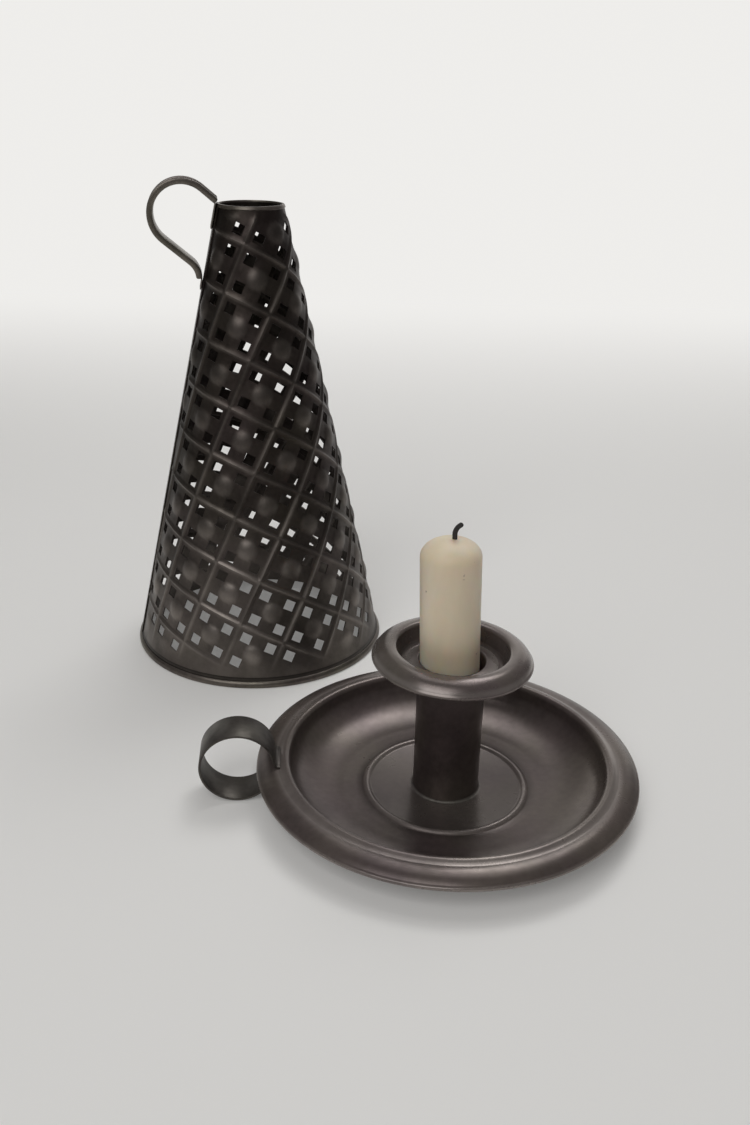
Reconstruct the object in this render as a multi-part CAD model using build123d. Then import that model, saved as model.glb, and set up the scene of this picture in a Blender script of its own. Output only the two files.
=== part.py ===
from build123d import *
import os
from math import atan, atan2, ceil, cos, degrees, hypot, pi, radians, sin, sqrt, tan

# A tin chamberstick with its loose punched shade standing beside it.
# Millimetres. The origin is the middle of the dish's flat underside, +Z is up and
# the shade stands behind the dish, to its left.

# Tinned sheet and solder
sheet = 0.6              # thickness of the pressed sheet
solder_gap = 0.05        # film of solder between pieces that are soldered together

# Dish: flat floor with a raised ring, steep inner wall and a wide rounded rim
dish_wall_radius = 59.0  # inside of the wall, at the floor
dish_wall_flare = 1.0    # how far the wall leans out over its height
dish_depth = 13.0        # floor to the ridge on top of the wall
dish_groove = 1.0        # from the ridge to the start of the rounded rim
dish_rim_width = 10.3    # from the groove to the rim's edge
dish_rim_rise = 0.9      # crest of the rim above the ridge
dish_rim_start = 110.0   # degrees from level, outwards, where the rim's arc leaves its groove
dish_rim_end = 40.0      # degrees, where it stops at the edge
bead_stand = 17.65       # from the tube's side to the middle of the ring pressed into the floor
bead_width = 4.2
bead_crest = 1.4
bead_height = 1.3

# Socket: rolled tube whose mouth is turned over into a collar
socket_bore_radius = 12.0
socket_wall = 0.45
socket_mouth_height = 55.0
collar_width = 4.8       # from the bore to the collar's edge
collar_drop = 1.3        # the collar's edge lies this far under the mouth
fillet_size = 1.5        # solder fillet round the tube's foot

# Drip pan, a small saucer under the collar
pan_gutter = 2.8         # from the collar's edge to the pan's wall
pan_wall_flare = 1.2
pan_depth = 7.6
pan_groove = 0.3
pan_rim_width = 7.05
pan_rim_rise = 0.8
pan_rim_start = 100.0    # degrees, as on the dish
pan_rim_end = 30.0       # degrees

# Candle and wick, leaning in the loose socket, towards the finger ring
candle_clearance = 1.1   # between the candle and the bore, all round
candle_touch = 0.35      # what the lean leaves of it where the candle meets the mouth
candle_stand = 42.4      # the candle's shoulder above the tube's mouth
candle_dome = 5.0
candle_foot_gap = 0.5    # between the candle's foot and the dish
wick_radius = 0.9
wick_gap = 0.05
wick_stub = 1.5          # straight part over the dome
wick_bend_radius = 4.0
wick_bend_angle = 65.0

# Finger ring: a strip bent round, with its two ends soldered on the dish's rim
finger_azimuth = 185.1   # degrees, seen from above
finger_radius = 14.1     # outside of the loop
finger_foot_gap = 0.5    # between the loop and the table
finger_strip = 0.9
finger_width = 14.0

# Shade: a cone rolled from pierced sheet, lapped down one side
shade_gap = 21.9         # between the dish's rim and the cone's base edge
shade_azimuth = 123.9    # degrees, seen from above: the shade's side of the dish
seam_azimuth = 189.4     # degrees, seen from above: the lap and the strap are here
shade_fit = 1.9          # between the cone's base and the dish's wall, when it stands in the dish
shade_top_radius = 13.7  # outside, at the top
shade_height = 198.8
shade_sheet = 0.6
lap_width = 7.0
hem_height = 2.4         # folded edge at the top
hoop_height = 3.2        # half-round hoop round the base
hoop_bulge = 1.3

# Punched pattern, laid out on the flat sheet before rolling
cell_pitch = 21.0        # side of one square cell of the lattice
hole_side = 4.5
rib_land = 4.8           # plain sheet between the holes of two neighbouring cells
cell_rise = 94.2         # middle of one cell above the base edge, on the middle line
top_margin = 4.5         # plain sheet between the top edge and a hole's middle
base_margin = 11.0       # plain sheet between the base edge and a hole's middle
seam_land = 4.5          # plain sheet between the lap and a hole's middle
punch_travel = 5.0       # how far the punch reaches through the sheet

# Strap handle on the seam side
strap_width = 11.0
strap_sheet = 0.6
strap_hem_width = 2.4    # folded edges of the strap
strap_hem_sheet = 2.6
strap_loop_radius = 11.8
strap_clear = 1.6        # between the loop's circle and the strap's corner on the top edge
strap_loop_drop = 4.2    # middle of the loop under the top edge
strap_slope = 39.0       # degrees below level of the tail
strap_upper_foot = 10.0  # part that lies along the cone, under the top edge
strap_upper_bend = 3.0
strap_lower_bend = 10.0
strap_lower_foot = 2.5   # straight end under the lower bend


def on_section(shape):
    """Stand a flat radius and height drawing up in the XZ plane."""
    return Plane.XZ * shape


def turned(face):
    """Turn a section about the upright axis."""
    return revolve(on_section(face), axis=Axis.Z)


def sheet_face(path, thickness, side):
    """Section of even thickness on one side of a path."""
    edge = offset(Wire(path.edges()), amount=thickness, kind=Kind.INTERSECTION, side=side, closed=True)
    return make_face(edge.edges())


def rim_radius(width, start, end):
    """Outside radius of a rounded rim whose arc fills its width, from the groove to the edge."""
    first, last = cos(radians(start)), cos(radians(end))
    return (width - sheet * first) / (last - first)


def saucer(start, floor_points, wall_radius, flare, depth, groove, rim_width, rim_rise, rim_start, rim_end):
    """Pressed saucer: floor, steep wall with a ridge on top, and a rounded rim. Underside at zero."""
    foot = wall_radius + sheet
    radius = rim_radius(rim_width, rim_start, rim_end)
    edge = foot + flare + groove + rim_width
    middle = (edge - radius * cos(radians(rim_end)), depth + rim_rise - radius)
    rim_under = CenterArc(middle, radius - sheet, rim_start, rim_end - rim_start)
    rim_top = CenterArc(middle, radius, rim_end, rim_start - rim_end)
    under = Polyline((start, 0), *floor_points, (foot, 0), (foot + flare, depth), rim_under @ 0)
    fold = Line(rim_under @ 1, rim_top @ 0)
    raised = [(r, z + sheet) for r, z in reversed(floor_points)]
    inside = wall_radius + flare * sheet / depth
    top = Polyline(rim_top @ 1, (inside + flare, depth + sheet), (inside, sheet), *raised, (start, sheet), (start, 0))
    return turned(make_face((under + rim_under + fold + rim_top + top).edges()))


socket_radius = socket_bore_radius + socket_wall
dish_radius = dish_wall_radius + sheet + dish_wall_flare + dish_groove + dish_rim_width


def make_dish():
    bead = socket_radius + bead_stand
    outer = bead_width / 2
    inner = bead_crest / 2
    ring = [(bead - outer, 0), (bead - inner, bead_height), (bead + inner, bead_height), (bead + outer, 0)]
    return saucer(0, ring, dish_wall_radius, dish_wall_flare, dish_depth, dish_groove,
                  dish_rim_width, dish_rim_rise, dish_rim_start, dish_rim_end)


collar_radius = socket_bore_radius + collar_width
collar_height = socket_mouth_height - collar_drop
pan_floor = collar_height - socket_wall - solder_gap - sheet


def make_drip_pan():
    pan = saucer(socket_radius + solder_gap, [], collar_radius + pan_gutter, pan_wall_flare, pan_depth,
                 pan_groove, pan_rim_width, pan_rim_rise, pan_rim_start, pan_rim_end)
    return Pos(0, 0, pan_floor) * pan


def make_socket_tube():
    path = Polyline(
        (socket_bore_radius, sheet + solder_gap),
        (socket_bore_radius, socket_mouth_height),
        (collar_radius, collar_height),
    )
    return turned(sheet_face(path, socket_wall, Side.RIGHT))


def make_socket_fillet():
    inside = socket_radius + solder_gap
    floor = sheet + solder_gap
    corner = (inside, floor)
    section = Polyline(corner, (inside + fillet_size, floor), (inside, floor + fillet_size), close=True)
    return turned(make_face(section.edges()))


# The candle leans about the middle of the tube's depth until it meets the mouth
middle_depth = socket_mouth_height / 2
candle_lean = degrees(atan((candle_clearance - candle_touch) / middle_depth))
lean = Pos(0, 0, middle_depth) * Rot(0, -candle_lean, 0) * Pos(0, 0, -middle_depth)
candle_radius = socket_bore_radius - candle_clearance
candle_foot = sheet + candle_foot_gap
candle_shoulder = socket_mouth_height + candle_stand
candle_tip = candle_shoulder + candle_dome


def make_candle():
    shoulder = (candle_radius, candle_shoulder)
    cap = (candle_radius**2 + candle_dome**2) / (2 * candle_dome)
    rise = degrees(atan2(cap - candle_dome, candle_radius))
    dome = CenterArc((0, candle_tip - cap), cap, rise, 90 - rise)
    side = Polyline((0, candle_tip), (0, candle_foot), (candle_radius, candle_foot), shoulder)
    wax = turned(make_face((dome + side).edges()))
    upright = (Align.CENTER, Align.CENTER, Align.MIN)
    return lean * (wax - Cylinder(wick_radius + wick_gap, candle_tip + wick_stub, align=upright))


def make_wick():
    stem = Line((0, candle_foot), (0, candle_tip + wick_stub))
    bend = CenterArc((wick_bend_radius, candle_tip + wick_stub), wick_bend_radius, 180, -wick_bend_angle)
    path = on_section(stem + bend)
    profile = Pos(0, 0, candle_foot) * Circle(wick_radius)
    return lean * sweep(profile, path=Wire(path.edges()))


def make_finger_ring():
    # The loop starts on the rim's crest and comes back under it, with the rim's sheet between its ends
    radius = rim_radius(dish_rim_width, dish_rim_start, dish_rim_end)
    crest = dish_radius - radius * cos(radians(dish_rim_end))
    crown = Circle(radius + solder_gap) - Circle(radius - sheet - solder_gap)
    crown &= Pos(0, radius) * Rectangle(2 * radius, 2 * radius * (1 - sin(radians(dish_rim_end))))
    rim = turned(Pos(crest, dish_depth + dish_rim_rise - radius) * crown)
    band = Circle(finger_radius) - Circle(finger_radius - finger_strip)
    middle = Pos(crest + finger_radius, finger_foot_gap + finger_radius)
    loop = extrude(on_section(middle * band), amount=finger_width / 2, both=True)
    return Rot(0, 0, finger_azimuth) * (loop - rim)


# The cone's own measures: half angle, and the slant lengths from its tip
shade_radius = dish_wall_radius - shade_fit
half_angle = atan((shade_radius - shade_top_radius) / shade_height)
slant_top = shade_top_radius / sin(half_angle)
slant_base = shade_radius / sin(half_angle)
half_sector = pi * sin(half_angle)
wall_across = shade_sheet / cos(half_angle)
shade_distance = dish_radius + shade_gap + shade_radius
shade_place = Rot(0, 0, shade_azimuth) * Pos(shade_distance, 0, 0) * Rot(0, 0, seam_azimuth - shade_azimuth)


def cone_radius(height):
    """Outside radius of the cone at a height."""
    return shade_radius - height * (shade_radius - shade_top_radius) / shade_height


def cone_layer(low, high, inner, outer):
    """Layer of the cone between two heights, from one offset of its outside to another."""
    section = Polyline(
        (cone_radius(low) + inner, low),
        (cone_radius(low) + outer, low),
        (cone_radius(high) + outer, high),
        (cone_radius(high) + inner, high),
        close=True,
    )
    return turned(make_face(section.edges()))


def punched_holes():
    """Flat places of the holes, as slant length and angle from the sheet's middle line."""
    first_cell = slant_base - cell_rise
    offset_in_cell = (cell_pitch - rib_land - hole_side) / 2
    seam_margin = lap_width / 2 + seam_land
    reach = ceil(slant_base / cell_pitch)
    middles = [step * cell_pitch for step in range(-reach, reach)]
    rows = [middle + side * offset_in_cell for middle in middles for side in (-1, 1)]
    for u in rows:
        for v in rows:
            x = (u - v) / sqrt(2)
            y = first_cell + (u + v) / sqrt(2)
            slant = hypot(x, y)
            from_seam = half_sector - abs(atan2(x, y))
            in_height = slant_top + top_margin < slant < slant_base - base_margin
            if in_height and from_seam > 0 and slant * sin(from_seam) > seam_margin:
                yield slant, atan2(x, y)


def hole_cutter(slant, angle):
    """Square punch standing across the sheet, with two sides along the cone's slant."""
    radius = slant * sin(half_angle)
    height = (slant_base - slant) * cos(half_angle)
    turn = degrees(hole_side / radius)
    azimuth = 180 + degrees(angle / sin(half_angle))
    section = on_section(Pos(radius, height) * Rectangle(punch_travel, hole_side * cos(half_angle)))
    return Rot(0, 0, azimuth - turn / 2) * revolve(section, axis=Axis.Z, revolution_arc=turn)


def make_shade_cone():
    """Pierced sheet rolled to a cone, lapped at the seam above the hoop and folded over at the top."""
    wall = cone_layer(0, shade_height, -wall_across, 0)
    second_layer = cone_layer(hoop_height + solder_gap, shade_height, 0, wall_across)
    seam_side = (Align.MIN, Align.CENTER, Align.MIN)
    lap = second_layer & Box(shade_radius + wall_across, lap_width, shade_height, align=seam_side)
    hem = cone_layer(shade_height - hem_height, shade_height, 0, wall_across)
    return shade_place * (wall + lap + hem - [hole_cutter(*hole) for hole in punched_holes()])


def make_shade_hoop():
    foot = (cone_radius(0) + solder_gap, 0)
    head = (cone_radius(hoop_height) + solder_gap, hoop_height)
    belly = ((foot[0] + head[0]) / 2 + hoop_bulge, hoop_height / 2)
    section = Line(head, foot) + ThreePointArc(foot, belly, head)
    return shade_place * turned(make_face(section.edges()))


def strap_path():
    """Inner face of the strap: up the cone, out round the loop and back down to the cone."""
    seat = wall_across + solder_gap
    along_cone = (sin(half_angle), -cos(half_angle))
    top = (shade_top_radius + seat + strap_sheet, shade_height)
    upper_end = (top[0] + strap_upper_foot * along_cone[0], top[1] + strap_upper_foot * along_cone[1])
    # The loop starts where a straight run from the top edge meets its circle as a tangent
    loop = (top[0] + strap_clear + strap_loop_radius, shade_height - strap_loop_drop)
    run = sqrt((loop[0] - top[0]) ** 2 + (loop[1] - top[1]) ** 2 - strap_loop_radius**2)
    toward_top = degrees(atan2(top[1] - loop[1], top[0] - loop[0]))
    touch = toward_top - degrees(atan2(run, strap_loop_radius))
    bow = CenterArc(loop, strap_loop_radius, touch, strap_slope - 90 - touch)
    # The tail slopes back to the cone and turns to lie along it
    tail = bow @ 1
    slope = radians(strap_slope)
    fall = (tail.X - cone_radius(tail.Y) - seat) / (cos(slope) + tan(half_angle) * sin(slope))
    meet = (tail.X - fall * cos(slope), tail.Y - fall * sin(slope))
    bend_run = strap_lower_bend * tan((pi / 2 - slope + half_angle) / 2)
    foot = bend_run + strap_lower_foot
    end = (meet[0] + foot * along_cone[0], meet[1] + foot * along_cone[1])
    upper = FilletPolyline(upper_end, top, bow @ 0, radius=strap_upper_bend)
    lower = FilletPolyline(tail, meet, end, radius=strap_lower_bend)
    return upper + bow + lower


def make_shade_strap():
    web_face = on_section(sheet_face(strap_path(), strap_sheet, Side.LEFT))
    web = extrude(web_face, amount=strap_width / 2, both=True)
    hem_face = on_section(sheet_face(strap_path(), strap_hem_sheet, Side.LEFT))
    hem = extrude(hem_face, amount=strap_hem_width / 2, both=True)
    aside = (strap_width - strap_hem_width) / 2
    # The folded edges stop at the top of the cone, so that the upper foot lies flat on the lap
    strap = web + Pos(0, aside, 0) * hem + Pos(0, -aside, 0) * hem
    cone = cone_layer(0, shade_height + solder_gap, -strap_hem_sheet, wall_across + solder_gap)
    return shade_place * (strap - cone)


if __name__ == "__main__":
    os.makedirs("parts", exist_ok=True)
    nodes = {
        "dish": make_dish(),
        "socket_tube": make_socket_tube(),
        "socket_solder_fillet": make_socket_fillet(),
        "drip_pan": make_drip_pan(),
        "finger_ring": make_finger_ring(),
        "candle": make_candle(),
        "wick": make_wick(),
        "shade_cone": make_shade_cone(),
        "shade_base_hoop": make_shade_hoop(),
        "shade_strap": make_shade_strap(),
    }
    for name, solid in nodes.items():
        export_step(solid, f"parts/{name}.step")
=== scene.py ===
from math import acos, asin, atan, atan2, cos, degrees, hypot, pi, radians, sin, sqrt, tan

import bpy
from mathutils import Matrix, Vector


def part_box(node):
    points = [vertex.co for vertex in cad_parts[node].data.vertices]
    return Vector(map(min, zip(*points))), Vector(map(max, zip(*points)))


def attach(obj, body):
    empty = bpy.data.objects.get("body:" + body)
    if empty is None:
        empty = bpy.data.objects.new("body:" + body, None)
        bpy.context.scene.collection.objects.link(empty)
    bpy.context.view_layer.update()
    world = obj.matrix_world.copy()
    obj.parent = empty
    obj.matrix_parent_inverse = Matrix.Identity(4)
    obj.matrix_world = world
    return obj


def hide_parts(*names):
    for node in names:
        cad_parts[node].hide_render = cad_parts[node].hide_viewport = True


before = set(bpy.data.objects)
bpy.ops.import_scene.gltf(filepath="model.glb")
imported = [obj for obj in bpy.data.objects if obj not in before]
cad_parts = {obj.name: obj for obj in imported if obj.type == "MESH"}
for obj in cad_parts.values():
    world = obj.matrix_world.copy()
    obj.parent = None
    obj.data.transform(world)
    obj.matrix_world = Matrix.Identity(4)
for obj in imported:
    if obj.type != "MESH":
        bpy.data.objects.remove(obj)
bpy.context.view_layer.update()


# Dish: one disc of tinned sheet pressed into a saucer, with a low ring raised in its floor,
# a hollow wall and a raised lip. The wide rim is rounded over and its edge rolled under, so
# that no raw edge shows. The tin is dark with age. The lip, the rim's edge and the floor ring
# are paler, partly as wear and partly as painted sheen, and painted shade darkens both sides
# of the floor ring and the groove between the lip and the rim.
mm = 0.001  # one millimetre in the frame's metres
sheet = 0.6 * mm
dish_wall_radius = 59.0 * mm
dish_depth = 13.0 * mm
dish_corner = (20.0 * mm, 10.5 * mm)  # width and height of the hollow between floor and lip
dish_hollow = 0.2 * mm
dish_lip = (61.2 * mm, 12.9 * mm)
dish_lip_radius = 2.0 * mm
dish_lip_end = 52  # degrees from level outwards, as all angles of the saucers
dish_rim_rise = 0.9 * mm
dish_rim_radius = 9.48 * mm
dish_rim_start = 95
dish_rim_end = 44
dish_edge = 71.9 * mm
dish_edge_turn = 40
edge_roll = 0.9 * mm
edge_sink = 0.7 * mm
bead_radius = 30.1 * mm
bead_width = 3.8 * mm
bead_height = 1.0 * mm


def arc(centre, radius, start, end, steps):
    """Points of an arc in the half section, with angles in degrees from level outwards."""
    angles = [radians(start + (end - start) * i / steps) for i in range(steps + 1)]
    return [(centre[0] + radius * cos(a), centre[1] + radius * sin(a)) for a in angles]


def new_line(name, points):
    """Start a piece as a line of points in the upright plane, drawn by extruding one point."""
    bpy.ops.object.select_all(action="DESELECT")
    bpy.ops.mesh.primitive_plane_add(size=mm)
    piece = bpy.context.object
    piece.name = name
    piece.data.name = name
    bpy.ops.object.mode_set(mode="EDIT")
    bpy.ops.mesh.select_mode(type="VERT")
    bpy.ops.mesh.select_all(action="SELECT")
    bpy.ops.mesh.merge(type="CENTER")
    bpy.ops.transform.translate(value=(points[0][0], 0, points[0][1]))
    for last, point in zip(points, points[1:]):
        step = (point[0] - last[0], 0, point[1] - last[1])
        bpy.ops.mesh.extrude_region_move(TRANSFORM_OT_translate={"value": step})
    return piece


def turned(name, section, steps):
    """Spin a half section once round the upright axis and close it."""
    piece = new_line(name, section)
    bpy.ops.mesh.select_all(action="SELECT")
    bpy.ops.mesh.spin(steps=steps, angle=2 * pi, center=(0, 0, 0), axis=(0, 0, 1))
    bpy.ops.mesh.select_all(action="SELECT")
    bpy.ops.mesh.remove_doubles(threshold=0.02 * mm)
    bpy.ops.mesh.normals_make_consistent(inside=False)
    bpy.ops.object.mode_set(mode="OBJECT")
    bpy.ops.object.shade_smooth_by_angle(angle=radians(30))
    return piece


def saucer_rim(foot, corner, lip, lip_radius, lip_end, middle, radius, start, end):
    """Upper line of a saucer's wall, lip, rim and rolled edge, and the line back underneath."""
    wall_start, wall_turn, lip_start, roll_end = -86, 81, 178, -140
    reach = radius - edge_sink
    edge = (middle[0] + reach * cos(radians(end)), middle[1] + reach * sin(radians(end)))
    meet = acos((radius**2 - reach**2 - edge_roll**2) / (2 * reach * edge_roll))
    meet_at = end + degrees(asin(edge_roll * sin(meet) / radius))
    turns = [radians(wall_start + wall_turn * i / 16) for i in range(17)]
    top = [(foot[0] + corner[0] * (cos(a) - 1), foot[1] + corner[1] * (sin(a) + 1)) for a in turns]
    top += arc(lip, lip_radius, lip_start, lip_end, 10) + arc(middle, radius, start, meet_at, 20)
    top += arc(edge, edge_roll, end + degrees(meet), roll_end, 10)[1:]
    under = arc(middle, radius - sheet, end - 2, start, 14)
    under += arc(lip, lip_radius - sheet, lip_end, 180, 6) + [(foot[0] + sheet, foot[1] - sheet)]
    return top, under


bead_steps = [i / 5 for i in range(-5, 6)]
bead_top = [
    (bead_radius + s * bead_width / 2, sheet + bead_height * cos(s * pi / 2) ** 2) for s in bead_steps
]
bead_under = [(r, z - sheet) for r, z in reversed(bead_top)]
dish_crest = (
    dish_edge - dish_rim_radius * cos(radians(dish_edge_turn)),
    dish_depth + dish_rim_rise - dish_rim_radius,
)
hollow_start = bead_radius + bead_width
hollow_steps = [i / 8 for i in range(1, 9)]
hollow_run = dish_wall_radius - dish_corner[0] - hollow_start
dish_hollow_top = [(hollow_start + s * hollow_run, sheet + dish_hollow * s * s) for s in hollow_steps]
dish_hollow_under = [(r, z - sheet) for r, z in reversed(dish_hollow_top)]
rim_top, rim_under = saucer_rim(
    (dish_wall_radius, sheet + dish_hollow),
    dish_corner,
    dish_lip,
    dish_lip_radius,
    dish_lip_end,
    dish_crest,
    dish_rim_radius,
    dish_rim_start,
    dish_rim_end,
)
floor_top = [(0, sheet)] + bead_top + dish_hollow_top
floor_under = dish_hollow_under + bead_under + [(0, 0)]
dish_section = floor_top + rim_top + rim_under + floor_under
dish = turned("dish_pressing", dish_section, steps=160)


def note(piece, name, share):
    """Note on every point a share from 0 to 1, such as how far wear and painted sheen, or painted
    shade, lie there.
    """
    kept = piece.data.attributes.new(name, "FLOAT", "POINT")
    for vertex in piece.data.vertices:
        kept.data[vertex.index].value = share(*vertex.co)


def near(value, middle, width):
    """One at the middle, falling to nothing at half the width on both sides."""
    share = max(1 - abs(value - middle) / (width / 2), 0)
    return share * share * (3 - 2 * share)


def tin_material(name, metal, dark, pale, wear_and_sheen_colour, smooth, dull, cloud_scale):
    """Old tin: clouds of tarnish in faint colours, a fine mottle, paler places of wear and painted
    sheen, painted shade, and slight waves.
    """
    material = bpy.data.materials.new(name)
    material.use_nodes = True
    nodes = material.node_tree.nodes
    links = material.node_tree.links
    shader = nodes["Principled BSDF"]
    shader.inputs["Metallic"].default_value = metal
    place = nodes.new("ShaderNodeTexCoord")
    clouds = nodes.new("ShaderNodeTexNoise")
    clouds.inputs["Scale"].default_value = cloud_scale
    clouds.inputs["Detail"].default_value = 6.0
    clouds.inputs["Roughness"].default_value = 0.62
    mottle = nodes.new("ShaderNodeTexNoise")
    mottle.inputs["Scale"].default_value = 420.0
    mottle.inputs["Detail"].default_value = 5.0
    tarnish = nodes.new("ShaderNodeMath")
    tarnish.operation = "MULTIPLY_ADD"
    tarnish.inputs[1].default_value = 0.3
    tone = nodes.new("ShaderNodeValToRGB")
    tone.color_ramp.elements[0].position = 0.42
    tone.color_ramp.elements[0].color = (*dark, 1)
    tone.color_ramp.elements[1].position = 0.86
    tone.color_ramp.elements[1].color = (*pale, 1)
    bloom = nodes.new("ShaderNodeTexNoise")
    bloom.inputs["Scale"].default_value = 31.0
    bloom.inputs["Detail"].default_value = 2.0
    tint = nodes.new("ShaderNodeValToRGB")
    tint.color_ramp.elements[0].position = 0.35
    tint.color_ramp.elements[0].color = (0.98, 0.92, 0.96, 1)
    tint.color_ramp.elements[1].position = 0.65
    tint.color_ramp.elements[1].color = (0.97, 0.98, 0.9, 1)
    tinted = nodes.new("ShaderNodeMix")
    tinted.data_type = "RGBA"
    tinted.blend_type = "MULTIPLY"
    tinted.inputs["Factor"].default_value = 1.0
    wear_and_sheen = nodes.new("ShaderNodeAttribute")
    wear_and_sheen.attribute_name = "wear_and_sheen"
    patchy = nodes.new("ShaderNodeMapRange")
    patchy.inputs["From Min"].default_value = 0.35
    patchy.inputs["From Max"].default_value = 0.65
    patchy.inputs["To Min"].default_value = 0.5
    wear_and_sheen_share = nodes.new("ShaderNodeMath")
    wear_and_sheen_share.operation = "MULTIPLY"
    # A paler colour laid on where the metal is worn, which also serves as painted sheen.
    with_wear_and_sheen = nodes.new("ShaderNodeMix")
    with_wear_and_sheen.data_type = "RGBA"
    with_wear_and_sheen.inputs["B"].default_value = (*wear_and_sheen_colour, 1)
    painted_shade = nodes.new("ShaderNodeAttribute")
    painted_shade.attribute_name = "painted_shade"
    # A near-black colour laid on as painted shade in creases and corners.
    with_painted_shade = nodes.new("ShaderNodeMix")
    with_painted_shade.data_type = "RGBA"
    with_painted_shade.inputs["B"].default_value = (0.03, 0.025, 0.022, 1)
    sheen = nodes.new("ShaderNodeMapRange")
    sheen.inputs["From Min"].default_value = 0.35
    sheen.inputs["From Max"].default_value = 0.9
    sheen.inputs["To Min"].default_value = dull
    sheen.inputs["To Max"].default_value = smooth
    polish = nodes.new("ShaderNodeMath")
    polish.operation = "MULTIPLY_ADD"
    polish.inputs[1].default_value = -0.06
    waves = nodes.new("ShaderNodeBump")
    waves.inputs["Strength"].default_value = 0.06
    waves.inputs["Distance"].default_value = 0.5 * mm
    for noise in (clouds, mottle, bloom):
        links.new(place.outputs["Object"], noise.inputs["Vector"])
    links.new(mottle.outputs["Fac"], tarnish.inputs[0])
    links.new(clouds.outputs["Fac"], tarnish.inputs[2])
    links.new(tarnish.outputs[0], tone.inputs["Fac"])
    links.new(tarnish.outputs[0], sheen.inputs["Value"])
    links.new(tarnish.outputs[0], waves.inputs["Height"])
    links.new(bloom.outputs["Fac"], tint.inputs["Fac"])
    links.new(tone.outputs["Color"], tinted.inputs["A"])
    links.new(tint.outputs["Color"], tinted.inputs["B"])
    links.new(clouds.outputs["Fac"], patchy.inputs["Value"])
    links.new(wear_and_sheen.outputs["Fac"], wear_and_sheen_share.inputs[0])
    links.new(patchy.outputs["Result"], wear_and_sheen_share.inputs[1])
    links.new(wear_and_sheen_share.outputs[0], with_wear_and_sheen.inputs["Factor"])
    links.new(tinted.outputs["Result"], with_wear_and_sheen.inputs["A"])
    links.new(painted_shade.outputs["Fac"], with_painted_shade.inputs["Factor"])
    links.new(with_wear_and_sheen.outputs["Result"], with_painted_shade.inputs["A"])
    links.new(with_painted_shade.outputs["Result"], shader.inputs["Base Color"])
    links.new(wear_and_sheen_share.outputs[0], polish.inputs[0])
    links.new(sheen.outputs["Result"], polish.inputs[2])
    links.new(polish.outputs[0], shader.inputs["Roughness"])
    links.new(waves.outputs["Normal"], shader.inputs["Normal"])
    return material


dish_groove = dish_lip[0] + dish_lip_radius
floor_zone = 4 * mm
rim_zone = 10 * mm


def dish_wear_and_sheen(x, y, z):
    """Wear and painted sheen: the lip and the edge of the rim, the ring in the floor, and less so the
    floor inside it.
    """
    r = hypot(x, y)
    if z < floor_zone:
        return max(0.5 * near(r, bead_radius, bead_width), 0.2 * (r < bead_radius))
    return 0.5 * max(near(r, dish_groove, 7 * mm), near(r, dish_edge, 2 * mm))


def dish_painted_shade(x, y, z):
    """Painted shade on both sides of the ring in the floor, and in the groove between the lip and the
    rim.
    """
    r = hypot(x, y)
    if z > rim_zone:
        return 0.5 * near(r, dish_groove, 1.8 * mm)
    return 0.5 * near(abs(r - bead_radius), 0.6 * bead_width, 2.4 * mm)


note(dish, "wear_and_sheen", dish_wear_and_sheen)
note(dish, "painted_shade", dish_painted_shade)
dish_tin = tin_material(
    "dish_tin",
    metal=0.5,
    dark=(0.078, 0.063, 0.059),
    pale=(0.148, 0.122, 0.114),
    wear_and_sheen_colour=(0.42, 0.375, 0.35),
    smooth=0.26,
    dull=0.36,
    cloud_scale=26,
)
dish.data.materials.append(dish_tin)
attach(dish, "chamberstick")
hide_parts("dish")


# Socket: a strip of thinner tin rolled into a tube, standing in the middle of the dish. Its
# mouth is turned over outwards into a sloping collar that holds the drip pan. The tube is
# blackened by handling and old wax.
socket_wall = 0.45 * mm
socket_bore = 12.0 * mm
collar_radius = 16.8 * mm
collar_slope = 15.2
mouth_round = 0.8 * mm
socket_low, socket_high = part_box("socket_tube")


def sheet_section(line, thickness):
    """Closed section of a sheet: its line, then back one thickness away on the right-hand side."""
    back = []
    for i, (r, z) in enumerate(line):
        before = Vector(line[max(i - 1, 0)])
        after = Vector(line[min(i + 1, len(line) - 1)])
        along = (after - before).normalized()
        back.append((r + along.y * thickness, z - along.x * thickness))
    return line + back[::-1] + line[:1]


mouth = (socket_bore + mouth_round, socket_high.z - mouth_round)
collar_line = [(socket_bore, socket_low.z)] + arc(mouth, mouth_round, 180, 90 - collar_slope, 8)
collar_run = collar_radius - collar_line[-1][0]
collar_line.append((collar_radius, collar_line[-1][1] - collar_run * tan(radians(collar_slope))))
socket = turned("socket_tube_rolled", sheet_section(collar_line, socket_wall), steps=96)
# The collar's edge is paler, partly worn and partly painted sheen.
note(socket, "wear_and_sheen", lambda x, y, z: near(hypot(x, y), collar_radius, 2.4 * mm))
socket_tin = tin_material(
    "socket_tin",
    metal=0.6,
    dark=(0.06, 0.047, 0.044),
    pale=(0.13, 0.108, 0.1),
    wear_and_sheen_colour=(0.3, 0.27, 0.25),
    smooth=0.28,
    dull=0.42,
    cloud_scale=40,
)
socket.data.materials.append(socket_tin)
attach(socket, "chamberstick")
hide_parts("socket_tube")


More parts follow.
